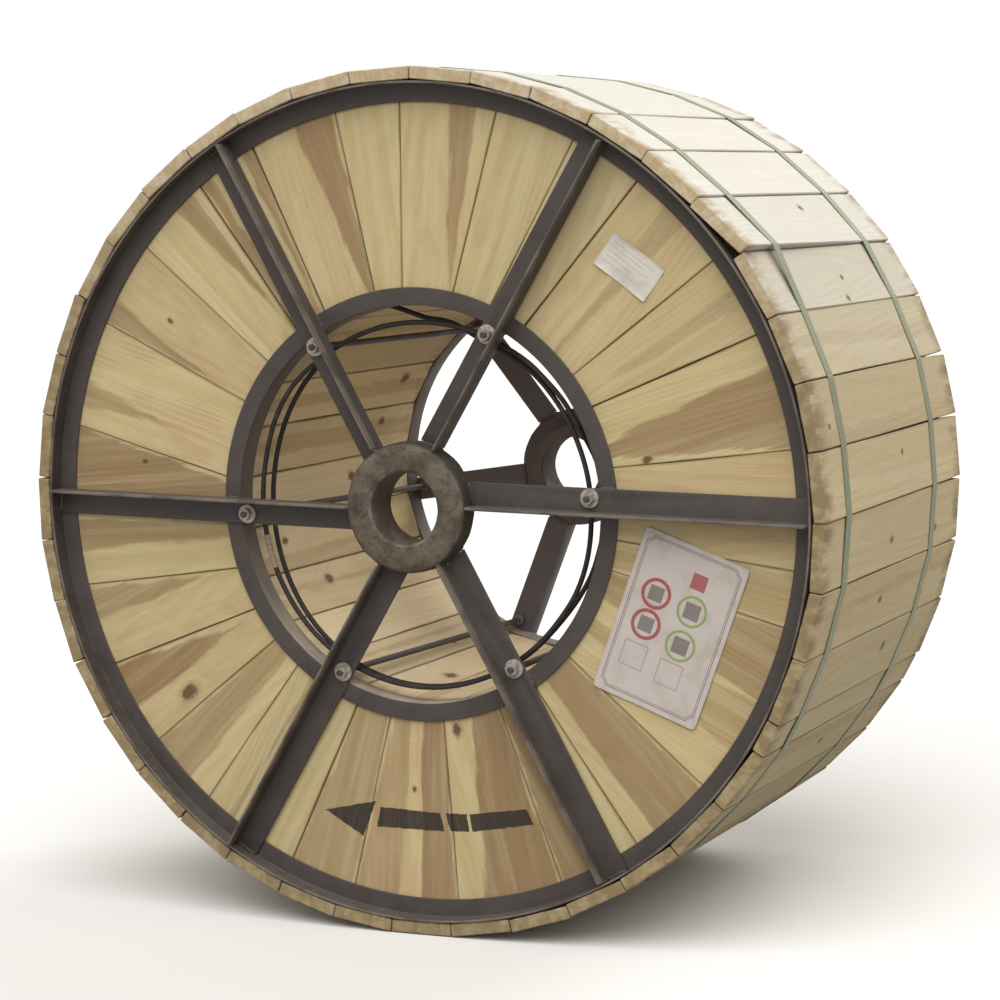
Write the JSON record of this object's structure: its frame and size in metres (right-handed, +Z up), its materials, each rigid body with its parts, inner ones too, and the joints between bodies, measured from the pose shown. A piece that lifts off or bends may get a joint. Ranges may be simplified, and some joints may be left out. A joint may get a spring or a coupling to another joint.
{
  "type": "fiber optic cable reel",
  "caption": "Cable drum with timber flanges on welded steel spokes and rings, a stave barrel, bored hubs, and lagging boards strapped round the wound cable.",
  "frame": {"origin": "on the floor, under the middle of the overall depth from the front hub to the rear board ends", "axes": "+Y along the axle axis from the front flange to the rear flange, +Z up, +X to the right of someone facing the front flange"},
  "size_m": [1.351, 0.737, 1.3498],
  "materials": {
    "dark_steel": "dark mill-scaled rolled steel, semi-matt",
    "weathered_steel": "rough, weathered",
    "zinc_fixings": "dull zinc plate",
    "flange_timber": "sawn softwood",
    "barrel_timber": "sawn softwood, darker",
    "lagging_timber": "sawn softwood, pale",
    "green_strapping": "embossed plastic strapping",
    "cable_jacket": "black sheath",
    "white_card": "printed card",
    "label_paper": "matt paper"
  },
  "bodies": {
    "root": {"barrel_staves": "barrel_timber", "cable_tail": "cable_jacket", "cable_winding": "cable_jacket", "flange_planks_front": "flange_timber", "flange_planks_rear": "flange_timber", "hub_front": "weathered_steel", "hub_rear": "weathered_steel", "inner_ring_front": "dark_steel", "inner_ring_rear": "dark_steel", "lagging_boards": "lagging_timber", "outer_rim_front": "dark_steel", "outer_rim_rear": "dark_steel", "paper_label": "label_paper", "placard": "white_card", "spoke_front_1": "dark_steel", "spoke_front_2": "dark_steel", "spoke_front_3": "dark_steel", "spoke_front_4": "dark_steel", "spoke_front_5": "dark_steel", "spoke_front_6": "dark_steel", "spoke_rear_1": "dark_steel", "spoke_rear_2": "dark_steel", "spoke_rear_3": "dark_steel", "spoke_rear_4": "dark_steel", "spoke_rear_5": "dark_steel", "spoke_rear_6": "dark_steel", "strap_front": "green_strapping", "strap_rear": "green_strapping", "tie_rod_1": "zinc_fixings", "tie_rod_2": "zinc_fixings", "tie_rod_3": "zinc_fixings", "tie_rod_4": "zinc_fixings", "tie_rod_5": "zinc_fixings", "tie_rod_6": "zinc_fixings"}
  },
  "joints": []
}
